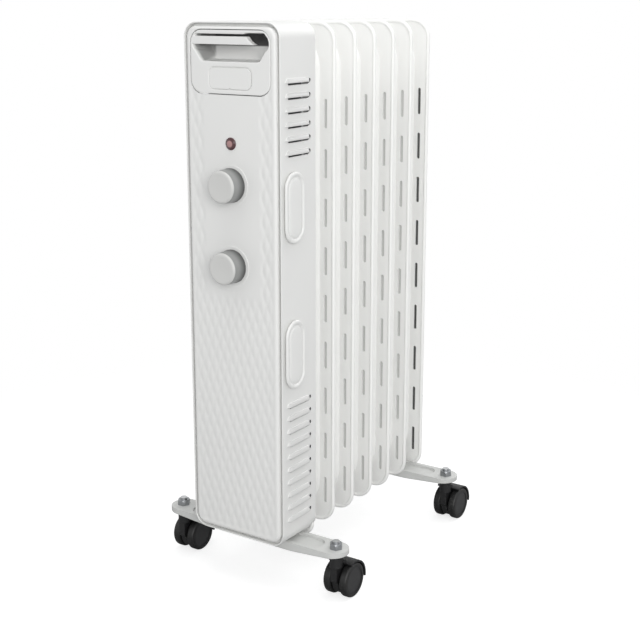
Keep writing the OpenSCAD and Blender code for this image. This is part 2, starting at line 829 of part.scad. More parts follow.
// Weight on an arm that hangs on the pin and opens the contacts when the heater leans
module tip_switch_pendulum() {
    arm = 21;
    t = 8;
    color(zinc) translate([0, tip_y + tip_depth/2 - t/2, tip_pin_z]) difference() {
        union() {
            along_y(0, t, 4);
            translate([-2, 0, -arm]) cube([4, t, arm]);
            translate([0, 0, -arm]) along_y(0, t, 6);
        }
        along_y(-overlap, t + 2*overlap, tip_pin_r + run_fit);
    }
}

// Snap disc that cuts the current if the oil gets too hot
module thermal_cutout() {
    color(bakelite) translate([0, 0, housing_mid - 50]) {
        along_y(shield_y - 8, 8, 8);
        upright(shield_y - 1, 1) rounded(28, 10, 4);
        for (x = [-4, 4]) translate([x - 1.5, shield_y - 14, -0.4]) cube([3, 6, 0.8]);
    }
}

block_z = bar_top + 160;
pole_gap = 11;

// Three-pole block where the supply joins the wiring
module terminal_block() {
    color(shadow_white) difference() {
        translate([-18, shield_y - 12, block_z - 8]) cube([36, 12, 16]);
        for (x = [-1:1]) translate([x*pole_gap, 0, block_z]) {
            along_y(shield_y - 12 - overlap, 6, 2.4);
            translate([0, shield_y - 6, 0]) cylinder(r = 1.9, h = 40, center = true);
        }
    }
}

gland_bore = 3.6;
gland_out = 9;
gland_in = 10;

// Bushing through the left wall that the supply cord passes through
module cable_gland() {
    color(black) translate([-housing_w/2, gland_y, gland_z]) rotate([0, 90, 0]) difference() {
        union() {
            cylinder(r = gland_r - fit, h = gland_in);
            translate([0, 0, -2]) cylinder(r = gland_r + 1.7, h = 2);
            translate([0, 0, -gland_out]) cylinder(r1 = gland_r - 1, r2 = gland_r, h = gland_out);
            translate([0, 0, shell_t]) cylinder(r = gland_r + 1.7, h = 5, $fn = 6);
        }
        translate([0, 0, -gland_out - overlap])
            cylinder(r = gland_bore, h = gland_out + gland_in + 2*overlap);
    }
}

// Straight length of wire from a to b
module wire_leg(a, b, r) {
    d = b - a;
    translate(a) rotate([0, acos(d.z/norm(d)), atan2(d.y, d.x)]) cylinder(r = r, h = norm(d));
}

// Wire along a list of points
module wire(points, r = 1.1) {
    for (i = [1:len(points) - 1]) wire_leg(points[i - 1], points[i], r);
    if (len(points) > 2) for (i = [1:len(points) - 2]) translate(points[i]) sphere(1.15*r);
}

// Insulated wires from the controls to the block, and from the block to the elements
module wiring_harness() {
    body_y = switch_y + switch_depth/2;
    pole_y = shield_y - 6;
    lead_y = flange_y - pin_out;
    below = block_z - 8;
    side = tip_w/2 + 7;
    color("#7a4a2c") wire([[-8, body_y, selector_z - 17], [-8, body_y, thermostat_z + 20]]);
    color("#3a5f8a") wire([[pole_gap, body_y, thermostat_z - 20],
        [pole_gap, body_y, thermostat_z - 68], [pole_gap, pole_y, block_z + 40],
        [pole_gap, pole_y, block_z + 5]]);
    color("#7a4a2c") wire([[-pole_gap, pole_y, below + 3], [-pole_gap, pole_y, below - 6],
        [-side, pole_y, below - 12], [-side, pole_y - 4, low_axis + 50],
        [-element_gap, lead_y - 8, low_axis - 7], [-element_gap, lead_y, low_axis - 7]]);
    color("#3a5f8a") wire([[0, pole_y, below + 3], [0, pole_y, below - 4],
        [side, pole_y, below - 12], [side, pole_y - 4, low_axis + 50],
        [element_gap, lead_y - 8, low_axis + 7], [element_gap, lead_y, low_axis + 7]]);
}

// Pan head screws: shield to shell lugs, and housing floor to the front foot bar
module housing_screws() {
    color(zinc) {
        for (x = [-1, 1], z = lug_heights) translate([x*(inner_w/2 - lug/2), 0, z]) {
            along_y(shield_y - 2.4, 2.4, 3.4);
            along_y(shield_y - overlap, shield_t + overlap, screw_r);
        }
        for (x = [-1, 1]) translate([x*bar_screw_x, front_stem_y, 0]) {
            translate([0, 0, bar_top + shell_t]) cylinder(r = 3.8, h = 2.4);
            translate([0, 0, recess_floor - bar_t - 4])
                cylinder(r = screw_r, h = bar_recess + bar_t + 5 + shell_t);
            translate([0, 0, recess_floor - bar_t - 3.2]) cylinder(r = 4, h = 3.2, $fn = 6);
        }
    }
}

// ---------------------------------------------------------------- feet

recess_w = bar_w - 11;
recess_len = 2*(stem_x - 17);

// Pressed channel with round ends: a sunk panel along the top and sides that get shallow
module foot_bar(y) {
    inner_w = bar_w - 2*bar_t;
    inner_len = bar_len - 2*bar_t;
    drop = bar_depth - bar_end_depth;
    slope_from = stem_x - 50;
    slope_run = bar_len/2 - slope_from;
    color(white) translate([0, y, 0]) difference() {
        translate([0, 0, bar_top - bar_depth]) linear_extrude(bar_depth)
            rotate(90) obround(bar_w, bar_len);
        translate([0, 0, recess_floor]) linear_extrude(bar_recess + overlap)
            rotate(90) obround(recess_w, recess_len);
        translate([0, 0, bar_top - bar_depth - overlap])
            linear_extrude(bar_depth - bar_recess - bar_t + overlap)
                rotate(90) obround(inner_w, inner_len);
        translate([0, 0, bar_top - bar_depth]) linear_extrude(bar_depth - bar_t)
            rotate(90) difference() {
                obround(inner_w, inner_len);
                obround(recess_w + 2*bar_t, recess_len + 2*bar_t);
            }
        for (x = [0, 1]) mirror([x, 0, 0]) {
            translate([slope_from, 0, bar_top - bar_depth])
                rotate([0, -atan2(drop, slope_run), 0])
                    translate([0, -bar_w, -20]) cube([slope_run*1.2, 2*bar_w, 20]);
            translate([stem_x, 0, bar_top - bar_depth])
                cylinder(r = stem_r + fit, h = bar_depth + overlap);
        }
        children();
    }
}

module front_foot_bar() {
    foot_bar(front_stem_y)
        for (x = [-1, 1]) translate([x*bar_screw_x, 0, bar_top - bar_depth])
            cylinder(r = screw_r + fit, h = bar_depth);
}

module rear_foot_bar() {
    foot_bar(rear_stem_y)
        for (x = [-1, 1]) translate([x*u_bolt_x, 0, bar_top - bar_depth])
            cylinder(r = u_bolt_r + fit, h = bar_depth);
}

// Pressed saddle that the lower collector rests on, between fins 6 and 7
module collector_saddle() {
    w = 34;
    t = 2*(fin_pitch/2 - hub_taper) - 1;
    top_z = low_axis - sqrt(pow(neck_r + seat, 2) - w*w/4);
    color(zinc) translate([0, rear_stem_y, 0]) difference() {
        translate([-w/2, -t/2, recess_floor]) cube([w, t, top_z - recess_floor]);
        translate([0, 0, low_axis]) along_y(-t, 2*t, neck_r + seat);
        translate([0, 0, recess_floor]) along_y(-t, 2*t, 5);
    }
}

// U-bolt over the collector's neck, down through the rear foot bar
module collector_u_bolt() {
    tail_z = recess_floor - bar_t - 8;
    color(zinc) translate([0, rear_stem_y, low_axis]) {
        rotate([90, 0, 0]) rotate_extrude(angle = 180) translate([u_bolt_x, 0]) circle(u_bolt_r);
        for (x = [-1, 1]) translate([x*u_bolt_x, 0, tail_z - low_axis])
            cylinder(r = u_bolt_r, h = low_axis - tail_z);
    }
}

// Wing nuts on the U-bolt, under the rear foot bar
module wing_nuts() {
    z = recess_floor - bar_t;
    color(zinc) for (x = [-1, 1]) translate([x*u_bolt_x, rear_stem_y, z]) difference() {
        union() {
            translate([0, 0, -5]) cylinder(r1 = 4.4, r2 = 5.6, h = 5);
            for (w = [-1, 1]) translate([0, w*7, -5]) rotate([0, 90, 0])
                cylinder(r = 4, h = 1.8, center = true);
        }
        translate([0, 0, -10]) cylinder(r = u_bolt_r + run_fit, h = 20);
        translate([-10, -15, 0]) cube([20, 30, 5]);
    }
}

// Places its children at the four caster stems
module at_stems() {
    for (x = [-1, 1], y = [front_stem_y, rear_stem_y]) translate([x*stem_x, y, 0]) children();
}

// Hexagon nuts on the stems, on top of the foot bars
module stem_nuts() {
    color(zinc) at_stems() translate([0, 0, bar_top]) difference() {
        intersection() {
            cylinder(r = 7.5, h = nut_h, $fn = 6);
            translate([0, 0, -overlap]) cylinder(r1 = 10, r2 = 6.6, h = nut_h + overlap);
        }
        translate([0, 0, -overlap]) cylinder(r = stem_r + run_fit, h = nut_h + 2*overlap);
    }
}

// Stems: a threaded end through the bar, a collar under it and a plain pin below
module caster_stems() {
    color(zinc) at_stems() {
        translate([0, 0, washer_z - overlap])
            cylinder(r = stem_r, h = bar_t + nut_h + 2.5 + overlap);
        translate([0, 0, washer_z - collar_h]) cylinder(r = 7, h = collar_h);
        translate([0, 0, wheel_r + 4])
            cylinder(r = pin_r, h = washer_z - collar_h - wheel_r - 4 + overlap);
    }
}

// ---------------------------------------------------------------- casters

// Web between the wheels, hood over them and socket for the stem's pin
module caster_frame(x, y) {
    socket_low = wheel_r + sqrt(wheel_r*wheel_r - pow(trail - 7, 2)) + hood_gap;
    color(black) translate([x, y, 0]) difference() {
        union() {
            translate([0, trail, wheel_r]) {
                sideways(-web_w/2, web_w) circle(wheel_r - web_lift);
                sideways(-caster_w/2, caster_w) intersection() {
                    difference() {
                        circle(caster_hood_r);
                        circle(wheel_r + hood_gap);
                    }
                    polygon([[0, 0], [60, -8], [60, 60], [-22, 60]]);
                }
            }
            sideways(-web_w/2, web_w) polygon([[-5, socket_top - 8], [-5, wheel_r + 2],
                [trail - 6, wheel_r - 10], [trail + 10, wheel_r + 6],
                [trail + 8, wheel_r + caster_hood_r - 2.4], [4, socket_top - 8]]);
            translate([0, 0, socket_low]) cylinder(r = 7, h = socket_top - socket_low);
            translate([0, 0, socket_low]) sideways(-web_w/2, web_w)
                polygon([[-4, 0], [trail, 0], [trail, 1], [6, 9], [-4, 9]]);
        }
        translate([0, 0, wheel_r + 3.5]) cylinder(r = pin_r + run_fit, h = 40);
        translate([0, trail, wheel_r]) rotate([0, 90, 0])
            cylinder(r = axle_d/2 + run_fit, h = web_w + 2*overlap, center = true);
    }
}

// Axle across the web, into both wheels
module caster_axle(x, y) {
    len = caster_w - 5;
    color(zinc) translate([x, y + trail, wheel_r]) rotate([0, 90, 0])
        cylinder(r = axle_d/2, h = len, center = true);
}

// Wheel with a round tread edge, a hub disc sunk in its face and a blind bore
module caster_wheel(x, y, side) {
    edge = 2.4;
    color(black) translate([x + side*wheel_x, y + trail, wheel_r]) rotate([0, side*90, 0])
        difference() {
            union() {
                cylinder(r = wheel_r - edge, h = wheel_w, center = true);
                cylinder(r = wheel_r, h = wheel_w - 2*edge, center = true);
                for (z = [-1, 1]) translate([0, 0, z*(wheel_w/2 - edge)])
                    rotate_extrude() translate([wheel_r - edge, 0]) circle(edge);
            }
            translate([0, 0, wheel_w/2 - 0.8]) cylinder(r = wheel_r - 5, h = overlap);
            translate([0, 0, -wheel_w/2 - overlap])
                cylinder(r = axle_d/2 + run_fit, h = wheel_w - 1.6 + overlap);
        }
}

module caster_fl_frame() { caster_frame(-stem_x, front_stem_y); }
module caster_fl_axle() { caster_axle(-stem_x, front_stem_y); }
module caster_fl_wheel_left() { caster_wheel(-stem_x, front_stem_y, -1); }
module caster_fl_wheel_right() { caster_wheel(-stem_x, front_stem_y, 1); }
module caster_fr_frame() { caster_frame(stem_x, front_stem_y); }
module caster_fr_axle() { caster_axle(stem_x, front_stem_y); }
module caster_fr_wheel_left() { caster_wheel(stem_x, front_stem_y, -1); }
module caster_fr_wheel_right() { caster_wheel(stem_x, front_stem_y, 1); }
module caster_rl_frame() { caster_frame(-stem_x, rear_stem_y); }
module caster_rl_axle() { caster_axle(-stem_x, rear_stem_y); }
module caster_rl_wheel_left() { caster_wheel(-stem_x, rear_stem_y, -1); }
module caster_rl_wheel_right() { caster_wheel(-stem_x, rear_stem_y, 1); }
module caster_rr_frame() { caster_frame(stem_x, rear_stem_y); }
module caster_rr_axle() { caster_axle(stem_x, rear_stem_y); }
module caster_rr_wheel_left() { caster_wheel(stem_x, rear_stem_y, -1); }
module caster_rr_wheel_right() { caster_wheel(stem_x, rear_stem_y, 1); }

fin_1();
fin_2();
fin_3();
fin_4();
fin_5();
fin_6();
fin_7();
oil_filler_plug();
heating_element_low();
heating_element_high();
element_flange();
element_gasket();
housing_shell();
rear_shield();
front_panel();
handle_moulding();
blank_cover();
cord_cleat_upper();
cord_cleat_lower();
control_bracket();
selector_switch();
selector_shaft();
selector_knob();
thermostat();
thermostat_shaft();
thermostat_knob();
dial_rings();
indicator_lens();
neon_lamp();
tip_switch_case();
tip_switch_pendulum();
thermal_cutout();
terminal_block();
cable_gland();
wiring_harness();
housing_screws();
front_foot_bar();
rear_foot_bar();
collector_saddle();
collector_u_bolt();
wing_nuts();
stem_nuts();
caster_stems();
caster_fl_frame();
caster_fl_axle();
caster_fl_wheel_left();
caster_fl_wheel_right();
caster_fr_frame();
caster_fr_axle();
caster_fr_wheel_left();
caster_fr_wheel_right();
caster_rl_frame();
caster_rl_axle();
caster_rl_wheel_left();
caster_rl_wheel_right();
caster_rr_frame();
caster_rr_axle();
caster_rr_wheel_left();
caster_rr_wheel_right();
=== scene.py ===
import math

import bmesh
import bpy
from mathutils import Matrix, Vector


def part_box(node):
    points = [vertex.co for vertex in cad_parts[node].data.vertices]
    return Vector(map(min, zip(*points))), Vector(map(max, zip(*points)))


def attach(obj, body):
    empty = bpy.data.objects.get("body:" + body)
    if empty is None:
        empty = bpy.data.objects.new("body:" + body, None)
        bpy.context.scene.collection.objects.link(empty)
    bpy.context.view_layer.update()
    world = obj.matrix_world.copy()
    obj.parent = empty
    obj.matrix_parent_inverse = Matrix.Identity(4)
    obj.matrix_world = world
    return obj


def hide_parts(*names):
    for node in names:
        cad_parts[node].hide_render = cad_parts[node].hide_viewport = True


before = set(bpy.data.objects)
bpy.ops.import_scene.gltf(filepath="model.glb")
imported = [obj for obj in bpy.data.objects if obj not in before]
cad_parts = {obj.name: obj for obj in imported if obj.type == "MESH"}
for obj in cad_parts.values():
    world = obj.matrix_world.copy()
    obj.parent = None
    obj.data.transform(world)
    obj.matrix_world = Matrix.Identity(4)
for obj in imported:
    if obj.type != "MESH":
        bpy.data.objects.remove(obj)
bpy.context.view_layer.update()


# ---------------------------------------------------------------- fins and collectors
# Seven pairs of pressed steel sheets, seam welded round the edge and joined by two collectors.
# They are powder coated white after welding; the slots' louvres carry painted shade, grey in every
# fin and near black in the rearmost one.

def finish(name, colour, roughness, grain=1400, depth=0.00001, mottle=0.02, metallic=0.0,
           coat=0.0, edge=0.0):
    """Surface with a fine grain, slow changes in colour and gloss, and worn-in soft edges."""
    skin = bpy.data.materials.new(name)
    skin.use_nodes = True
    nodes, links = skin.node_tree.nodes, skin.node_tree.links
    shader = nodes["Principled BSDF"]
    shader.inputs["Metallic"].default_value = metallic
    shader.inputs["Coat Weight"].default_value = coat
    shader.inputs["Coat Roughness"].default_value = 0.15
    place = nodes.new("ShaderNodeTexCoord")
    slow, fine = nodes.new("ShaderNodeTexNoise"), nodes.new("ShaderNodeTexNoise")
    slow.inputs["Scale"].default_value = 14
    fine.inputs["Scale"].default_value = grain
    for noise in (slow, fine):
        noise.inputs["Detail"].default_value = 3
        links.new(place.outputs["Object"], noise.inputs["Vector"])
    tone = nodes.new("ShaderNodeMix")
    tone.data_type = "RGBA"
    tone.inputs[6].default_value = [c * (1 - mottle) for c in colour] + [1]
    tone.inputs[7].default_value = [min(1, c * (1 + mottle)) for c in colour] + [1]
    links.new(slow.outputs["Fac"], tone.inputs[0])
    links.new(tone.outputs[2], shader.inputs["Base Color"])
    gloss = nodes.new("ShaderNodeMapRange")
    gloss.inputs["To Min"].default_value = roughness - 0.04
    gloss.inputs["To Max"].default_value = roughness + 0.06
    links.new(slow.outputs["Fac"], gloss.inputs["Value"])
    links.new(gloss.outputs["Result"], shader.inputs["Roughness"])
    relief = nodes.new("ShaderNodeBump")
    relief.inputs["Distance"].default_value = depth
    links.new(fine.outputs["Fac"], relief.inputs["Height"])
    links.new(relief.outputs["Normal"], shader.inputs["Normal"])
    if edge:
        soft = nodes.new("ShaderNodeBevel")
        soft.samples = 4
        soft.inputs["Radius"].default_value = edge
        links.new(soft.outputs["Normal"], relief.inputs["Normal"])
    return skin


def calc(skin, operation, a, b=0.0):
    """Math node of a finish; a and b are sockets or numbers."""
    node = skin.node_tree.nodes.new("ShaderNodeMath")
    node.operation = operation
    for socket, value in zip(node.inputs, (a, b)):
        if isinstance(value, bpy.types.NodeSocket):
            skin.node_tree.links.new(value, socket)
        else:
            socket.default_value = value
    return node.outputs[0]


def distance(skin, a, b):
    """Distance from a line, out of the two offsets across it."""
    return calc(skin, "SQRT", calc(skin, "ADD", calc(skin, "MULTIPLY", a, a),
                                   calc(skin, "MULTIPLY", b, b)))


def place_of(skin):
    """X, Y and Z of the point on the piece, in metres."""
    nodes, links = skin.node_tree.nodes, skin.node_tree.links
    place, split = nodes.new("ShaderNodeTexCoord"), nodes.new("ShaderNodeSeparateXYZ")
    links.new(place.outputs["Object"], split.inputs[0])
    return split.outputs


def ramp(skin, value, low, high):
    """0 below low, 1 above high, smooth between; high may be the lower one."""
    node = skin.node_tree.nodes.new("ShaderNodeMapRange")
    node.interpolation_type = "SMOOTHSTEP"
    node.inputs["From Min"].default_value, node.inputs["From Max"].default_value = low, high
    skin.node_tree.links.new(value, node.inputs["Value"])
    return node.outputs[0]


def tint(skin, where, colour):
    """Lays colour over the finish where the mask is 1."""
    nodes, links = skin.node_tree.nodes, skin.node_tree.links
    shader = nodes["Principled BSDF"]
    under = shader.inputs["Base Color"].links[0].from_socket
    layer = nodes.new("ShaderNodeMix")
    layer.data_type = "RGBA"
    layer.inputs[7].default_value = (*colour, 1)
    links.new(where, layer.inputs[0])
    links.new(under, layer.inputs[6])
    links.new(layer.outputs[2], shader.inputs["Base Color"])


def add_size(tree, label, value):
    """Adds a named size to a node tree's inputs."""
    size = tree.interface.new_socket(label, in_out="INPUT", socket_type="NodeSocketFloat")
    size.default_value = value


def shading_tree():
    """Geometry Nodes that join a solid's loose triangles and smooth all but its sharp edges."""
    tree = bpy.data.node_groups.new("soft_shading", "GeometryNodeTree")
    tree.interface.new_socket("Solid", in_out="INPUT", socket_type="NodeSocketGeometry")
    tree.interface.new_socket("Solid", in_out="OUTPUT", socket_type="NodeSocketGeometry")
    add_size(tree, "Sharp angle", math.radians(32))
    nodes, links = tree.nodes, tree.links
    start, end = nodes.new("NodeGroupInput"), nodes.new("NodeGroupOutput")
    weld = nodes.new("GeometryNodeMergeByDistance")
    weld.inputs["Distance"].default_value = 0.000005
    smooth = nodes.new("GeometryNodeSetShadeSmooth")
    crease = nodes.new("GeometryNodeSetShadeSmooth")
    crease.domain = "EDGE"
    crease.inputs["Shade Smooth"].default_value = False
    bend = nodes.new("GeometryNodeInputMeshEdgeAngle")
    sharp = nodes.new("FunctionNodeCompare")
    sharp.operation = "GREATER_THAN"
    links.new(start.outputs["Solid"], weld.inputs["Geometry"])
    links.new(weld.outputs["Geometry"], smooth.inputs["Geometry"])
    links.new(smooth.outputs["Geometry"], crease.inputs["Geometry"])
    links.new(bend.outputs["Unsigned Angle"], sharp.inputs["A"])
    links.new(start.outputs["Sharp angle"], sharp.inputs["B"])
    links.new(sharp.outputs["Result"], crease.inputs["Selection"])
    links.new(crease.outputs["Geometry"], end.inputs["Solid"])
    return tree


soft_shading = shading_tree()


def dress(skin, *names):
    """Gives solids of the frame their finish and smooth shading."""
    for name in names:
        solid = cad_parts[name]
        solid.data.materials.clear()
        solid.data.materials.append(skin)
        solid.modifiers.new("shading", "NODES").node_group = soft_shading


def middle(name, axis):
    """Middle of a solid along X, Y or Z."""
    low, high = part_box(name)
    return (low[axis] + high[axis]) / 2


ENAMEL = (0.80, 0.80, 0.785)
SLOT_INSET, LOUVRE_INSIDE, SHEET_BACK, FIN_CORNER = 0.0125, 0.0026, 0.0009, 0.018
fin_planes = [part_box(f"fin_{i}")[0][1] for i in range(2, 7)]
pitch = (fin_planes[-1] - fin_planes[0]) / 4
fin_2_y = fin_planes[0] + pitch / 2
fin_low, fin_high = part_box("fin_2")
slot_x = fin_high[0] - SLOT_INSET
slots_half = (fin_high[2] - fin_low[2]) / 2 - FIN_CORNER
# Painted light: the fins get the common white made 1.15 times lighter, against the shade in the
# gaps between them.
fin_enamel_painted_light = finish("fin_enamel_painted_light", [c * 1.15 for c in ENAMEL], 0.48)
x, y, z = place_of(fin_enamel_painted_light)
turns = calc(fin_enamel_painted_light, "DIVIDE", calc(fin_enamel_painted_light, "SUBTRACT", y, fin_2_y - 2 * pitch), pitch)
behind = calc(fin_enamel_painted_light, "MULTIPLY", calc(fin_enamel_painted_light, "FRACT", turns), pitch)
off = calc(fin_enamel_painted_light, "SUBTRACT", calc(fin_enamel_painted_light, "ABSOLUTE", x), slot_x)
height = calc(fin_enamel_painted_light, "ABSOLUTE", calc(fin_enamel_painted_light, "SUBTRACT", z, middle("fin_2", 2)))
in_louvre = calc(fin_enamel_painted_light, "MULTIPLY",
                 ramp(fin_enamel_painted_light, distance(fin_enamel_painted_light, off, behind),
                      LOUVRE_INSIDE + 0.00008, LOUVRE_INSIDE),
                 ramp(fin_enamel_painted_light, behind, SHEET_BACK - 0.00005, SHEET_BACK))
louvre_shade = calc(fin_enamel_painted_light, "MULTIPLY", in_louvre,
              ramp(fin_enamel_painted_light, height, slots_half, slots_half - 0.002))
last = ramp(fin_enamel_painted_light, y, fin_2_y + 4.5 * pitch, fin_2_y + 4.6 * pitch)
# Painted shade in the slots' louvres: grey in every fin, near black in the rearmost.
tint(fin_enamel_painted_light, calc(fin_enamel_painted_light, "MULTIPLY", louvre_shade, 0.6), (0.34, 0.34, 0.33))
tint(fin_enamel_painted_light, calc(fin_enamel_painted_light, "MULTIPLY", louvre_shade, last), (0.07, 0.07, 0.068))
dress(fin_enamel_painted_light, *[f"fin_{i}" for i in range(1, 8)])


def weld_tree():
    """Geometry Nodes that lay a weld seam round every joint of two collector necks."""
    tree = bpy.data.node_groups.new("weld_seams", "GeometryNodeTree")
    tree.interface.new_socket("Joints", in_out="INPUT", socket_type="NodeSocketGeometry")
    tree.interface.new_socket("Seams", in_out="OUTPUT", socket_type="NodeSocketGeometry")
    add_size(tree, "Neck radius", 0.026)
    add_size(tree, "Bead radius", 0.001)
    coat = tree.interface.new_socket("Coat", in_out="INPUT", socket_type="NodeSocketMaterial")
    nodes, links = tree.nodes, tree.links
    start, end = nodes.new("NodeGroupInput"), nodes.new("NodeGroupOutput")
    round_neck = nodes.new("GeometryNodeCurvePrimitiveCircle")
    section = nodes.new("GeometryNodeCurvePrimitiveCircle")
    round_neck.inputs["Resolution"].default_value = 72
    section.inputs["Resolution"].default_value = 10
    bead = nodes.new("GeometryNodeCurveToMesh")
    turn = nodes.new("GeometryNodeTransform")
    turn.inputs["Rotation"].default_value = (math.pi / 2, 0, 0)
    spread = nodes.new("GeometryNodeInstanceOnPoints")
    real = nodes.new("GeometryNodeRealizeInstances")
    smooth, paint = nodes.new("GeometryNodeSetShadeSmooth"), nodes.new("GeometryNodeSetMaterial")
    links.new(start.outputs["Neck radius"], round_neck.inputs["Radius"])
    links.new(start.outputs["Bead radius"], section.inputs["Radius"])
    links.new(round_neck.outputs["Curve"], bead.inputs["Curve"])
    links.new(section.outputs["Curve"], bead.inputs["Profile Curve"])
    links.new(bead.outputs["Mesh"], turn.inputs["Geometry"])
    links.new(start.outputs["Joints"], spread.inputs["Points"])
    links.new(turn.outputs["Geometry"], spread.inputs["Instance"])
    links.new(spread.outputs["Instances"], real.inputs["Geometry"])
    links.new(real.outputs["Geometry"], smooth.inputs["Geometry"])
    links.new(smooth.outputs["Geometry"], paint.inputs["Geometry"])
    links.new(start.outputs["Coat"], paint.inputs["Material"])
    links.new(paint.outputs["Geometry"], end.inputs["Seams"])
    return tree, coat.identifier


def mesh_object(name, points, faces=()):
    """Object at the origin from points and faces."""
    mesh = bpy.data.meshes.new(name)
    mesh.from_pydata(points, [], faces)
    thing = bpy.data.objects.new(name, mesh)
    bpy.context.scene.collection.objects.link(thing)
    return thing


def settle(thing):
    """Turns the result of an object's modifiers into its plain mesh."""
    bpy.context.view_layer.update()
    made = bpy.data.meshes.new_from_object(
        thing.evaluated_get(bpy.context.evaluated_depsgraph_get()))
    thing.modifiers.clear()
    old, thing.data = thing.data, made
    bpy.data.meshes.remove(old)


low_axis, high_axis = middle("element_flange", 2), middle("oil_filler_plug", 2)
seam_tree, coat_socket = weld_tree()
welds = mesh_object("weld_seams", [(0, fin_2_y + (i + 0.5) * pitch, z)
                                   for i in range(5) for z in (low_axis, high_axis)])
maker = welds.modifiers.new("welds", "NODES")
maker.node_group = seam_tree
maker[coat_socket] = fin_enamel_painted_light
settle(welds)
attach(welds, "radiator")

# ---------------------------------------------------------------- oil plug and heating elements
# The upper collector is closed by a zinc plated filler plug, the lower one by a brass flange
# that carries two steel hairpin tubes. A rubber ring seals the flange. All sit in the housing.

ZINC = (0.50, 0.51, 0.52)
zinc = finish("zinc_plate", ZINC, 0.30, grain=700, mottle=0.06, metallic=1.0, edge=0.0004)
tube_steel = finish("tube_steel", (0.45, 0.44, 0.43), 0.34, grain=500, mottle=0.07, metallic=1.0)
turned_brass = finish("turned_brass", (0.72, 0.56, 0.28), 0.28, grain=800, mottle=0.04,
                      metallic=1.0)
black_rubber = finish("black_rubber", (0.02, 0.02, 0.02), 0.72, grain=900, depth=0.00002)
dress(zinc, "oil_filler_plug")
dress(tube_steel, "heating_element_low", "heating_element_high")
dress(turned_brass, "element_flange")
dress(black_rubber, "element_gasket")

# ---------------------------------------------------------------- housing shell and rear shield
# A steel sleeve bent from one sheet, with lanced louvres in both sides, powder coated outside.
# Its inner faces are painted near black and the hoods of its louvres grey, both as shade. A
# galvanised sheet closes it in front of the first fin.

SHELL_CORNER, SHELL_WALL, PANEL_TO_SIDE = 0.016, 0.0014, 0.0036
LIP, LIP_END = 0.0095, 0.013
shell_low, shell_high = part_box("housing_shell")
outer_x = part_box("front_panel")[1][0] + PANEL_TO_SIDE
shell_half = (shell_high[2] - shell_low[2]) / 2
shell_enamel = finish("shell_enamel", ENAMEL, 0.46, edge=0.0006)
x, y, z = place_of(shell_enamel)
sideways = calc(shell_enamel, "ABSOLUTE", x)
upwards = calc(shell_enamel, "ABSOLUTE",
               calc(shell_enamel, "SUBTRACT", z, middle("housing_shell", 2)))
bend = distance(shell_enamel, *[
    calc(shell_enamel, "MAXIMUM", calc(shell_enamel, "SUBTRACT", far, half - SHELL_CORNER))
    for far, half in ((sideways, outer_x), (upwards, shell_half))])
wall_middle = SHELL_CORNER - SHELL_WALL / 2
# Painted shade: the sleeve's inner faces, from the lip backwards, are tinted near black.
inside_shade = calc(shell_enamel, "MULTIPLY",
              ramp(shell_enamel, bend, wall_middle + 0.0001, wall_middle - 0.0001),
              ramp(shell_enamel, y, shell_low[1] + LIP, shell_low[1] + LIP_END))
# Painted shade: the hoods of the louvres are tinted grey.
hood_shade = ramp(shell_enamel, sideways, outer_x + 0.0001, outer_x + 0.001)
tint(shell_enamel, calc(shell_enamel, "MULTIPLY", hood_shade, 0.75), (0.58, 0.58, 0.57))
tint(shell_enamel, inside_shade, (0.05, 0.05, 0.05))
dress(shell_enamel, "housing_shell")
sheet_zinc = finish("galvanised_sheet", ZINC, 0.42, grain=160, mottle=0.09, metallic=1.0)
dress(sheet_zinc, "rear_shield")

# ---------------------------------------------------------------- front panel
# A white moulding with a soft edge all round. A low quilted relief of tall diamonds covers it,
# apart from a smooth field round the lamp and the knobs.

panel_low, panel_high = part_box("front_panel")
PANEL_CORNER, PANEL_EDGE, PANEL_WALL, PANEL_PLAY = 0.0118, 0.0036, 0.0022, 0.0006
COLUMN_STEP, ROW_STEP = 0.001, 0.0014
FIELD_HALF, FIELD_LOW = 0.035, 0.326
half_w = panel_high[0] - PANEL_PLAY
half_h = (panel_high[2] - panel_low[2]) / 2 - PANEL_PLAY
mid_z = middle("front_panel", 2)
front_y = panel_low[1]
# Steps of the skirt behind the soft edge, as the way out and the way back.
SKIRT = ((0, 0.0076), (0.0012, 0.0078), (0.0025, 0.0079), (0.0025, panel_high[1] - front_y))


def inset(x, z):
    """Distance of a point on the panel from its outline, inwards."""
    a, b = abs(x) - (half_w - PANEL_CORNER), abs(z - mid_z) - (half_h - PANEL_CORNER)
    return PANEL_CORNER - math.hypot(max(a, 0), max(b, 0)) - min(max(a, b), 0)


def ease(value, low, high):
    """0 at low, 1 at high, smooth between."""
    t = min(1, max(0, (value - low) / (high - low)))
    return t * t * (3 - 2 * t)


def marks(half, step):
    """Places from -half to half, close together near both ends."""
    near = [0, 0.0001, 0.0004, 0.0009, 0.0016, 0.0025, 0.0037]
    rest = half - 0.0052
    count = round(2 * rest / step)
    inner = [-rest + i * 2 * rest / count for i in range(count + 1)]
    return [-half + n for n in near] + inner + [half - n for n in reversed(near)]


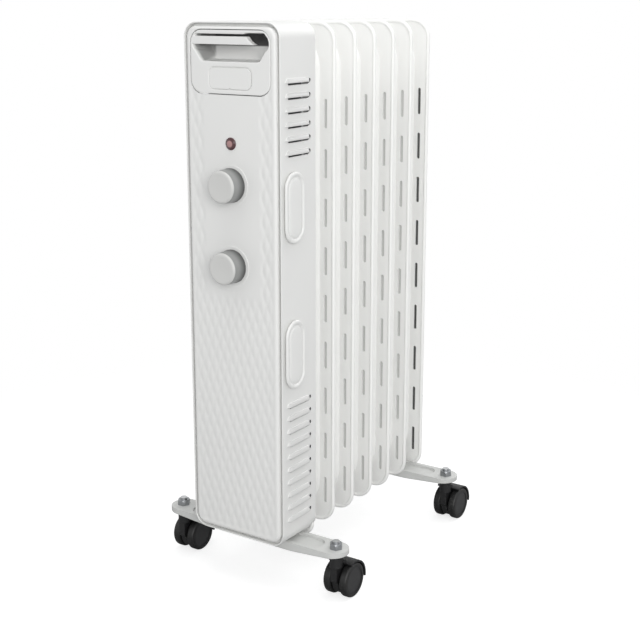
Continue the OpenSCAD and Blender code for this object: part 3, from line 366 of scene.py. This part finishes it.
def panel_grid():
    """Front skin of the panel with its soft edge and skirt; returns points, faces and field."""
    points, faces, field = [], [], []
    columns = [c / half_w for c in marks(half_w, COLUMN_STEP)]
    rows = [mid_z + r for r in marks(half_h, ROW_STEP)]
    for row in rows:
        bend = PANEL_CORNER - min(half_h - abs(row - mid_z), PANEL_CORNER)
        width = half_w - PANEL_CORNER + math.sqrt(max(0, PANEL_CORNER ** 2 - bend ** 2))
        for column in columns:
            x = column * width
            d = max(0, inset(x, row))
            lean = max(0, PANEL_EDGE - d)
            depth = PANEL_EDGE - math.sqrt(max(0, PANEL_EDGE ** 2 - lean ** 2))
            points.append((x, front_y + depth, row))
            plain = ((1 - ease(abs(x), FIELD_HALF, FIELD_HALF + 0.004))
                     * ease(row, FIELD_LOW, FIELD_LOW + 0.014))
            field.append((1 - plain) * ease(d, 0.003, 0.008))
    wide, tall = len(columns), len(rows)
    for j in range(tall - 1):
        for i in range(wide - 1):
            a = j * wide + i
            faces.append((a, a + 1, a + wide + 1, a + wide))
    rim = (list(range(wide)) + [j * wide + wide - 1 for j in range(1, tall)]
           + [(tall - 1) * wide + i for i in range(wide - 2, -1, -1)]
           + [j * wide for j in range(tall - 2, 0, -1)])
    prior = rim
    for out, back in SKIRT:
        ring = list(range(len(points), len(points) + len(rim)))
        for n in rim:
            px, _, pz = points[n]
            a = max(0, abs(px) - half_w + PANEL_CORNER)
            b = max(0, abs(pz - mid_z) - half_h + PANEL_CORNER)
            far = math.hypot(a, b)
            points.append((px + math.copysign(out * a / far, px), front_y + back,
                           pz + math.copysign(out * b / far, pz - mid_z)))
            field.append(0.0)
        for k in range(len(rim)):
            m = (k + 1) % len(rim)
            faces.append((prior[m], prior[k], ring[k], ring[m]))
        prior = ring
    return points, faces, field


def quilt_tree():
    """Geometry Nodes that press the quilted relief into the panel's front skin."""
    tree = bpy.data.node_groups.new("quilted_relief", "GeometryNodeTree")
    tree.interface.new_socket("Skin", in_out="INPUT", socket_type="NodeSocketGeometry")
    tree.interface.new_socket("Skin", in_out="OUTPUT", socket_type="NodeSocketGeometry")
    add_size(tree, "Diamond width", 0.0108)
    add_size(tree, "Diamond height", 0.0254)
    add_size(tree, "Relief", 0.00055)
    nodes, links = tree.nodes, tree.links
    start, end = nodes.new("NodeGroupInput"), nodes.new("NodeGroupOutput")

    def reckon(operation, a, b=0.0):
        node = nodes.new("ShaderNodeMath")
        node.operation = operation
        for socket, value in zip(node.inputs, (a, b)):
            if isinstance(value, bpy.types.NodeSocket):
                links.new(value, socket)
            else:
                socket.default_value = value
        return node.outputs[0]

    where, split = nodes.new("GeometryNodeInputPosition"), nodes.new("ShaderNodeSeparateXYZ")
    links.new(where.outputs[0], split.inputs[0])
    across = reckon("DIVIDE", split.outputs[0], start.outputs["Diamond width"])
    upwards = reckon("DIVIDE", split.outputs[2], start.outputs["Diamond height"])
    waves = [reckon("SINE", reckon("MULTIPLY", reckon(way, across, upwards), math.pi))
             for way in ("ADD", "SUBTRACT")]
    pillow = reckon("MULTIPLY", *[reckon("ABSOLUTE", wave) for wave in waves])
    field = nodes.new("GeometryNodeInputNamedAttribute")
    field.inputs["Name"].default_value = "field"
    pressed = reckon("MULTIPLY", reckon("SUBTRACT", 1.0, pillow), field.outputs["Attribute"])
    height = reckon("MULTIPLY", pressed, start.outputs["Relief"])
    lift, push = nodes.new("ShaderNodeCombineXYZ"), nodes.new("GeometryNodeSetPosition")
    links.new(height, lift.inputs[1])
    links.new(lift.outputs[0], push.inputs["Offset"])
    links.new(start.outputs["Skin"], push.inputs["Geometry"])
    links.new(push.outputs[0], end.inputs["Skin"])
    return tree


def round_rect(w, h, corner, z, n=10):
    """Outline of a rectangle with round corners, as X and Z, centred at X 0 and height z."""
    outline = []
    for k, (sx, sz) in enumerate(((1, 1), (-1, 1), (-1, -1), (1, -1))):
        for i in range(n + 1):
            a = math.pi / 2 * (k + i / n)
            outline.append((sx * (w / 2 - corner) + corner * math.cos(a),
                            z + sz * (h / 2 - corner) + corner * math.sin(a)))
    return outline


def face_outwards(thing):
    """Turns every face of a closed mesh outwards."""
    bm = bmesh.new()
    bm.from_mesh(thing.data)
    bmesh.ops.recalc_face_normals(bm, faces=bm.faces)
    bm.to_mesh(thing.data)
    bm.free()


def prism(name, outline, y0, y1, back=None):
    """Closed prism between an outline at y0 and the same, or another, outline at y1."""
    n = len(outline)
    points = [(x, y0, z) for x, z in outline] + [(x, y1, z) for x, z in (back or outline)]
    faces = [tuple(range(n)), tuple(range(2 * n - 1, n - 1, -1))]
    faces += [(k, k + n, (k + 1) % n + n, (k + 1) % n) for k in range(n)]
    thing = mesh_object(name, points, faces)
    face_outwards(thing)
    return thing


def shape(thing, *steps):
    """Joins a piece with others or cuts it with them; the others are used up."""
    for operation, tool in steps:
        step = thing.modifiers.new("step", "BOOLEAN")
        step.operation, step.object, step.solver = operation, tool, "EXACT"
    settle(thing)
    for _, tool in steps:
        bpy.data.objects.remove(tool)


def smooth_faces(thing, angle=32):
    """Smooth shading, with the edges past the angle kept sharp."""
    thing.data.polygons.foreach_set("use_smooth", [True] * len(thing.data.polygons))
    thing.data.set_sharp_from_angle(angle=math.radians(angle))
    thing.data.update()


def moulding(name):
    """White moulded plastic with a very fine grain."""
    return finish(name, ENAMEL, 0.42, grain=2200, depth=0.000006)


white_plastic = moulding("white_moulding")
HANDLE_CORNER, SHAFT_HOLE, LAMP_HOLE = 0.014, 0.0052, 0.0057
handle_low, handle_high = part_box("handle_moulding")
handle_w = handle_high[0] - handle_low[0]
handle_h = handle_high[2] - handle_low[2]
handle_z = middle("handle_moulding", 2)
lamp_z, selector_z = middle("indicator_lens", 2), middle("selector_knob", 2)
thermostat_z = middle("thermostat_knob", 2)

points, faces, field = panel_grid()
panel = mesh_object("quilted_front_panel", points, faces)
panel.data.attributes.new("field", "FLOAT", "POINT").data.foreach_set("value", field)
panel.modifiers.new("relief", "NODES").node_group = quilt_tree()
wall = panel.modifiers.new("wall", "SOLIDIFY")
wall.thickness = PANEL_WALL
wall.offset = -1
settle(panel)
openings = [round_rect(handle_w + 0.001, handle_h + 0.001, HANDLE_CORNER + 0.0005, handle_z)]
openings += [round_rect(2 * r, 2 * r, r * 0.999, hole_z) for r, hole_z in
             ((SHAFT_HOLE, selector_z), (SHAFT_HOLE, thermostat_z), (LAMP_HOLE, lamp_z))]
shape(panel, *[("DIFFERENCE", prism("cut", outline, front_y - 0.01, panel_high[1]))
               for outline in openings])
smooth_faces(panel)
panel.data.materials.append(white_plastic)
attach(panel, "radiator")
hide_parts("front_panel")

# ---------------------------------------------------------------- handle moulding and blank cover
# The carrying handle: a deep finger pocket with a grip bar across it, moulded in one piece.
# Behind the bar and from just under it upwards, the pocket is painted near black as shade, and its
# left wall is painted dark grey as shade.

# Left halves of the pocket's outline at its mouth and at its floor, and the grip bar, in mm.
POCKET = [(-34, 580.2), (-37.6, 581), (-40.6, 584.6), (-44.4, 590), (-47.8, 593.4),
          (-49.6, 596.4), (-49.6, 600.2), (-48.2, 604), (-45.6, 608)]
POCKET_BACK = [(-31, 581.6), (-34, 582.6), (-36, 586), (-38.6, 590), (-40.6, 594), (-41.8, 597),
               (-41.8, 601), (-41, 605), (-39, 608)]
GRIP = [(-50.4, 597.4), (31, 597.4), (27.5, 599.2), (23.5, 602), (21, 605.6), (-47.6, 605.6),
        (-50.4, 601)]
POCKET_WALL = 0.0016


def in_metres(outline):
    """An outline in millimetres, turned into metres."""
    return [(x / 1000, z / 1000) for x, z in outline]


def whole(left, top):
    """Pocket outline from its left half, the points along its top and the mirrored half."""
    return in_metres(left + top + [(-x, z) for x, z in reversed(left[:-1])])


pocket = whole(POCKET, [(17, 608), (21, 609.2), (43.6, 609.2)])
pocket_back = whole(POCKET_BACK, [(12, 608), (16, 608.5), (39, 608.5)])


def grown(outline, by):
    """An outline with every side moved outwards."""
    n, out = len(outline), []
    area = sum(outline[k - 1][0] * outline[k][1] - outline[k][0] * outline[k - 1][1]
               for k in range(n))
    turn = 1 if area > 0 else -1
    for k in range(n):
        (ax, az), (bx, bz), (cx, cz) = outline[k - 1], outline[k], outline[(k + 1) % n]
        u, v = Vector((bz - az, ax - bx)).normalized(), Vector((cz - bz, bx - cx)).normalized()
        way = (u + v).normalized()
        step = turn * by / max(0.6, way.dot(u))
        out.append((bx + step * way.x, bz + step * way.y))
    return out


handle = prism("finger_handle", round_rect(handle_w - 0.0006, handle_h - 0.0006,
                                           HANDLE_CORNER - 0.0003, handle_z),
               front_y, front_y + 0.0026)
cover_low, cover_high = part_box("blank_cover")
cover_w, cover_h = cover_high[0] - cover_low[0], cover_high[2] - cover_low[2]
cover_z = middle("blank_cover", 2)
shape(handle,
      ("UNION", prism("tub", grown(pocket, POCKET_WALL), front_y + 0.001, handle_high[1],
                      grown(pocket_back, POCKET_WALL))),
      ("DIFFERENCE", prism("cut", pocket, front_y - 0.001, handle_high[1] - POCKET_WALL,
                           pocket_back)),
      ("UNION", prism("grip", in_metres(GRIP), front_y + 0.0002, front_y + 0.0075)),
      ("DIFFERENCE", prism("cut", round_rect(cover_w + 0.0004, cover_h + 0.0004, 0.0072, cover_z),
                           front_y - 0.001, front_y + 0.0014)))
remesh = handle.modifiers.new("remesh", "REMESH")
remesh.mode = "VOXEL"
remesh.voxel_size = 0.0006
soften = handle.modifiers.new("soften", "SMOOTH")
soften.factor, soften.iterations = 0.5, 3
settle(handle)
smooth_faces(handle, 60)
handle_plastic = moulding("handle_moulding")
x, y, z = place_of(handle_plastic)
# Painted shade: the pocket behind the bar, from just under the bar upwards, is tinted near black.
hollow_shade = calc(handle_plastic, "MULTIPLY", ramp(handle_plastic, z, 0.5948, 0.5966),
              ramp(handle_plastic, y, front_y + 0.0078, front_y + 0.0098))
tint(handle_plastic, hollow_shade, (0.05, 0.05, 0.05))
# Painted shade: the pocket's left wall is tinted dark grey.
left_wall_shade = calc(handle_plastic, "MULTIPLY", ramp(handle_plastic, x, -0.0335, -0.037),
                 ramp(handle_plastic, y, front_y + 0.0015, front_y + 0.006))
tint(handle_plastic, calc(handle_plastic, "MULTIPLY", left_wall_shade, 0.7), (0.2, 0.2, 0.195))
handle.data.materials.clear()
handle.data.materials.append(handle_plastic)
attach(handle, "radiator")
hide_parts("handle_moulding")

cover = prism("blank_cover_plate", round_rect(cover_w - 0.0012, cover_h - 0.0012, 0.0062, cover_z),
              front_y - 0.0002, front_y + 0.0012)
pry_notch = round_rect(0.0036, 0.0024, 0.0011, cover_low[2] + 0.0004)
shape(cover, ("DIFFERENCE", prism("cut", pry_notch, front_y - 0.001, front_y + 0.003)))
bevel = cover.modifiers.new("edge", "BEVEL")
bevel.width, bevel.segments, bevel.limit_method = 0.0004, 3, "ANGLE"
settle(cover)
smooth_faces(cover, 12)
cover.data.materials.append(white_plastic)
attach(cover, "radiator")
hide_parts("blank_cover")

# ---------------------------------------------------------------- cord cleats
# Two dished plates on short necks, moulded in white plastic and fixed to the sleeve's right side.
# The cord is wound round their necks.

cleat_plastic = moulding("cleat_moulding")
# From the plate's edge inwards and down from its top, in mm.
CLEAT_FACE = [(0, -1.9), (0.05, -1.3), (0.3, -0.75), (0.8, -0.25), (1.5, 0), (3.4, 0),
              (3.9, -0.25), (4.3, -0.8), (4.7, -1.4), (5.4, -1.6), (6.1, -1.4), (6.5, -0.9),
              (7.1, -0.55), (8.6, -0.35), (11, -0.2), (14, -0.12), (16, -0.1)]


def obround_ring(low, high, by, x, n=32):
    """Points round an upright slot shape on a side wall, moved inwards, at X x."""
    y, z = (low[1] + high[1]) / 2, (low[2] + high[2]) / 2
    r, straight = (high[1] - low[1]) / 2, (high[2] - low[2] - high[1] + low[1]) / 2
    ring = []
    for k in range(2 * n):
        a = math.pi * (k + 0.5) / n
        ring.append((x, y + (r - by) * math.cos(a), z + (r - by) * math.sin(a)
                     + (straight if math.sin(a) > 0 else -straight)))
    return ring


for name in ("cord_cleat_upper", "cord_cleat_lower"):
    low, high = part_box(name)
    foot, top = low[0], high[0]
    underside = ((0.0172, foot), (0.005, foot), (0.0045, top - 0.0028), (0.0007, top - 0.0028),
                 (0.0001, top - 0.0024))
    rings = [obround_ring(low, high, by, x) for by, x in underside]
    rings += [obround_ring(low, high, by / 1000, top + lift / 1000) for by, lift in CLEAT_FACE]
    points, faces, count = [point for ring in rings for point in ring], [], len(rings[0])
    for j in range(len(rings) - 1):
        for k in range(count):
            m = (k + 1) % count
            faces.append((j * count + k, j * count + m, (j + 1) * count + m, (j + 1) * count + k))
    faces += [tuple(range(count)), tuple(range(len(points) - count, len(points)))]
    cleat = mesh_object(name + "_plate", points, faces)
    face_outwards(cleat)
    smooth_faces(cleat, 50)
    cleat.data.materials.append(cleat_plastic)
    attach(cleat, "radiator")
    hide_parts(name)

# ---------------------------------------------------------------- switches, shafts and knobs
# The selector and the thermostat sit on a steel bracket behind the panel. Each knob is a light
# cap on a darker grey cup, painted darker still towards the panel as shade, with a dimple near the
# rim as its mark.

bakelite = finish("bakelite", (0.035, 0.028, 0.022), 0.38, grain=600, mottle=0.15)
dress(sheet_zinc, "control_bracket")
dress(bakelite, "selector_switch", "thermostat")
dress(zinc, "selector_shaft", "thermostat_shaft")
dress(white_plastic, "dial_rings")


def revolve(name, profile, axis_z, steps=96):
    """Closed body of revolution round a line along Y at height axis_z; profile is r and y."""
    points, faces = [], []
    for r, y in profile:
        for k in range(steps if r else 1):
            a = 2 * math.pi * k / steps
            points.append((r * math.cos(a), y, axis_z + r * math.sin(a)))
    first = 0
    for (r0, _), (r1, _) in zip(profile, profile[1:]):
        second = first + (steps if r0 else 1)
        for k in range(steps):
            m = (k + 1) % steps
            if not r0:
                faces.append((first, second + k, second + m))
            elif not r1:
                faces.append((first + k, second, first + m))
            else:
                faces.append((first + k, second + k, second + m, first + m))
        first = second
    thing = mesh_object(name, points, faces)
    face_outwards(thing)
    return thing


for name, body in (("selector_knob", "selector"), ("thermostat_knob", "thermostat_control")):
    low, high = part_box(name)
    axis_z, rim, face, skirt = (low[2] + high[2]) / 2, high[0], low[1], high[1]
    profile = [(0, face + 0.0005), (rim - 0.0075, face + 0.0003), (rim - 0.005, face + 0.0001)]
    profile += [(rim - 0.0034 + 0.0024 * math.sin(a), face + 0.0024 - 0.0024 * math.cos(a))
                for a in (math.radians(10 * k) for k in range(1, 9))]
    profile += [(rim - 0.0009, face + 0.004), (rim - 0.0007, face + 0.0055),
                (rim - 0.0003, skirt - 0.003), (rim, skirt - 0.0012), (rim, skirt - 0.0003),
                (rim - 0.0004, skirt), (rim - 0.003, skirt), (rim - 0.0032, skirt - 0.001),
                (rim - 0.004, face + 0.005), (0.0052, face + 0.005), (0.005, skirt - 0.001),
                (0.0031, skirt - 0.001), (0.0031, face + 0.004), (0, face + 0.004)]
    knob = revolve(name + "_cap", profile, axis_z)
    dimple = [(0, face - 0.001), (0.0009, face - 0.001), (0.0009, face + 0.0004),
              (0, face + 0.0006)]
    shape(knob, ("DIFFERENCE", revolve("dimple", dimple, axis_z + rim - 0.0062, 24)))
    smooth_faces(knob, 40)
    knob_grey_and_shade = finish(name + "_grey", (0.62, 0.62, 0.605), 0.40, grain=2600, depth=0.000005)
    y = place_of(knob_grey_and_shade)[1]
    tint(knob_grey_and_shade, ramp(knob_grey_and_shade, y, face + 0.0016, face + 0.0026), (0.30, 0.305, 0.30))
    # Painted shade: the cup darkens to near black towards the panel.
    tint(knob_grey_and_shade, ramp(knob_grey_and_shade, y, face + 0.006, skirt + 0.001), (0.06, 0.062, 0.06))
    knob.data.materials.clear()
    knob.data.materials.append(knob_grey_and_shade)
    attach(knob, body)
    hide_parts(name)

# ---------------------------------------------------------------- indicator lamp
# A lens of clear red plastic pressed into the panel, dark round its rim and milky over the small
# neon lamp behind it.

lens_red = finish("lens_red", (0.06, 0.014, 0.017), 0.16, grain=300, depth=0.000002, coat=0.2)
x, _, z = place_of(lens_red)
from_axis = distance(lens_red, x, calc(lens_red, "SUBTRACT", z, lamp_z))
tint(lens_red, ramp(lens_red, from_axis, 0.0042, 0.0026), (0.40, 0.22, 0.215))
neon = finish("neon_glass", (0.7, 0.45, 0.38), 0.2)
dress(lens_red, "indicator_lens")
dress(neon, "neon_lamp")

# ---------------------------------------------------------------- safety switches and wiring
# Tip-over switch with its hanging weight, thermal cut-out and terminal block, all fixed to the
# rear shield. A loom of sleeved wires joins them; the cord's gland is black rubber.

nylon = finish("natural_nylon", (0.74, 0.72, 0.66), 0.5, grain=400)
brown_sleeve = finish("wire_sleeve", (0.16, 0.07, 0.035), 0.45, grain=600)
dress(bakelite, "tip_switch_case", "thermal_cutout")
dress(zinc, "tip_switch_pendulum")
dress(nylon, "terminal_block")
dress(brown_sleeve, "wiring_harness")
dress(black_rubber, "cable_gland")

# ---------------------------------------------------------------- screws
# Zinc plated pan head screws. They hold the rear shield to the sleeve and the sleeve to the front
# foot bar.

dress(zinc, "housing_screws")

# ---------------------------------------------------------------- foot bars
# Two channels pressed from thick steel sheet, powder coated, each with a sunk panel along its top.
# The rear one carries the lower collector on a saddle, under a U-bolt; nuts hold the casters.

bar_enamel = finish("bar_enamel", (0.62, 0.625, 0.61), 0.42, edge=0.0012)
dress(bar_enamel, "front_foot_bar", "rear_foot_bar")
dull_zinc = finish("dull_zinc", (0.30, 0.31, 0.32), 0.45, grain=500, mottle=0.1, metallic=1.0)
dress(dull_zinc, "stem_nuts")
dress(zinc, "collector_saddle", "collector_u_bolt", "wing_nuts", "caster_stems")

# ---------------------------------------------------------------- casters
# Black twin-wheel casters: a hooded frame that swivels on the stem, and a wheel on each side
# with a rubber tread and a slightly lighter hub disc.

caster_black = finish("caster_black", (0.004, 0.004, 0.0045), 0.55, grain=1100, depth=0.00002,
                      edge=0.0006)
HUB_RADIUS = 0.0144
for place in ("fl", "fr", "rl", "rr"):
    dress(caster_black, f"caster_{place}_frame")
    dress(zinc, f"caster_{place}_axle")
for row in ("f", "r"):
    tread_black = finish(f"wheel_black_{row}", (0.004, 0.004, 0.004), 0.5, grain=900,
                         depth=0.000015)
    _, y, z = place_of(tread_black)
    from_axle = distance(tread_black, *[
        calc(tread_black, "SUBTRACT", here, middle(f"caster_{row}l_wheel_left", axis))
        for here, axis in ((y, 1), (z, 2))])
    tint(tread_black, ramp(tread_black, from_axle, HUB_RADIUS + 0.0004, HUB_RADIUS),
         (0.018, 0.018, 0.019))
    dress(tread_black, *[f"caster_{row}{s}_wheel_{w}" for s in "lr" for w in ("left", "right")])

# ---------------------------------------------------------------- floor, light and camera
# A pale floor that takes the heater's shadow and fades into a white surround, with soft boxes in
# front, above and behind. The camera stands in front on the right, a little above the heater.

FLOOR_GLOW, FADE_START, FADE_END = 0.72, 0.30, 0.80
floor = mesh_object("floor", [(-3, -3, 0), (3, -3, 0), (3, 3, 0), (-3, 3, 0)], [(0, 1, 2, 3)])
floor_skin = bpy.data.materials.new("floor_white")
floor_skin.use_nodes = True
nodes, links = floor_skin.node_tree.nodes, floor_skin.node_tree.links
shader = nodes["Principled BSDF"]
shader.inputs["Base Color"].default_value = (0.45, 0.45, 0.45, 1)
shader.inputs["Roughness"].default_value = 0.9
shader.inputs["Specular IOR Level"].default_value = 0.0
rays = nodes.new("ShaderNodeLightPath")
glow, both = nodes.new("ShaderNodeEmission"), nodes.new("ShaderNodeAddShader")
lift = nodes.new("ShaderNodeMath")
lift.operation = "MULTIPLY"
lift.inputs[1].default_value = FLOOR_GLOW
links.new(rays.outputs["Is Camera Ray"], lift.inputs[0])
links.new(lift.outputs[0], glow.inputs["Strength"])
links.new(shader.outputs["BSDF"], both.inputs[0])
links.new(glow.outputs["Emission"], both.inputs[1])
place, spread = nodes.new("ShaderNodeTexCoord"), nodes.new("ShaderNodeVectorMath")
spread.operation = "LENGTH"
fade = nodes.new("ShaderNodeMapRange")
fade.interpolation_type = "SMOOTHSTEP"
fade.inputs["From Min"].default_value = FADE_START
fade.inputs["From Max"].default_value = FADE_END
see_through, blend = nodes.new("ShaderNodeBsdfTransparent"), nodes.new("ShaderNodeMixShader")
links.new(place.outputs["Object"], spread.inputs[0])
links.new(spread.outputs["Value"], fade.inputs["Value"])
links.new(fade.outputs["Result"], blend.inputs["Fac"])
links.new(both.outputs["Shader"], blend.inputs[1])
links.new(see_through.outputs["BSDF"], blend.inputs[2])
links.new(blend.outputs["Shader"], nodes["Material Output"].inputs["Surface"])
floor.data.materials.append(floor_skin)

scene = bpy.context.scene
scene.view_settings.view_transform = "Standard"
world = bpy.data.worlds.new("studio")
scene.world = world
world.use_nodes = True
nodes, links = world.node_tree.nodes, world.node_tree.links
room = nodes["Background"]
room.inputs["Color"].default_value = (0.98, 0.99, 1.0, 1)
room.inputs["Strength"].default_value = 0.50
backdrop = nodes.new("ShaderNodeBackground")
backdrop.inputs["Color"].default_value = (1, 1, 1, 1)
backdrop.inputs["Strength"].default_value = 1.0
rays = nodes.new("ShaderNodeLightPath")
seen, clear = nodes.new("ShaderNodeMath"), nodes.new("ShaderNodeMath")
seen.operation = clear.operation = "MAXIMUM"
pick = nodes.new("ShaderNodeMixShader")
links.new(rays.outputs["Is Camera Ray"], seen.inputs[0])
links.new(rays.outputs["Is Glossy Ray"], seen.inputs[1])
links.new(seen.outputs[0], clear.inputs[0])
links.new(rays.outputs["Is Transmission Ray"], clear.inputs[1])
links.new(clear.outputs[0], pick.inputs["Fac"])
links.new(room.outputs["Background"], pick.inputs[1])
links.new(backdrop.outputs["Background"], pick.inputs[2])
links.new(pick.outputs["Shader"], nodes["World Output"].inputs["Surface"])


AIM = Vector((0, 0, 0.31))


def soft_box(name, azimuth, elevation, away, size, power):
    """Square lamp that faces the middle of the heater; azimuth 0 is in front, 90 at its right."""
    a, e = math.radians(azimuth), math.radians(elevation)
    lamp = bpy.data.lights.new(name, "AREA")
    lamp.size = size
    lamp.energy = power
    box = bpy.data.objects.new(name, lamp)
    way = Vector((math.sin(a) * math.cos(e), -math.cos(a) * math.cos(e), math.sin(e)))
    box.location = AIM + away * way
    box.rotation_euler = (-way).to_track_quat("-Z", "Y").to_euler()
    scene.collection.objects.link(box)


soft_box("key_box", 47, 16, 2.4, 1.0, 20)
soft_box("front_box", 25, 20, 2.4, 1.2, 8)
soft_box("top_box", 20, 80, 2.4, 1.4, 16)
soft_box("rear_box", 170, 30, 2.4, 1.4, 20)

eye = bpy.data.cameras.new("camera")
eye.lens = 68.14
eye.shift_y = -0.055
camera = bpy.data.objects.new("camera", eye)
camera.location = (0.7718, -1.1405, 0.6403)
camera.rotation_euler = (math.pi / 2 - 0.2300, 0, 0.5902)
scene.collection.objects.link(camera)
scene.camera = camera
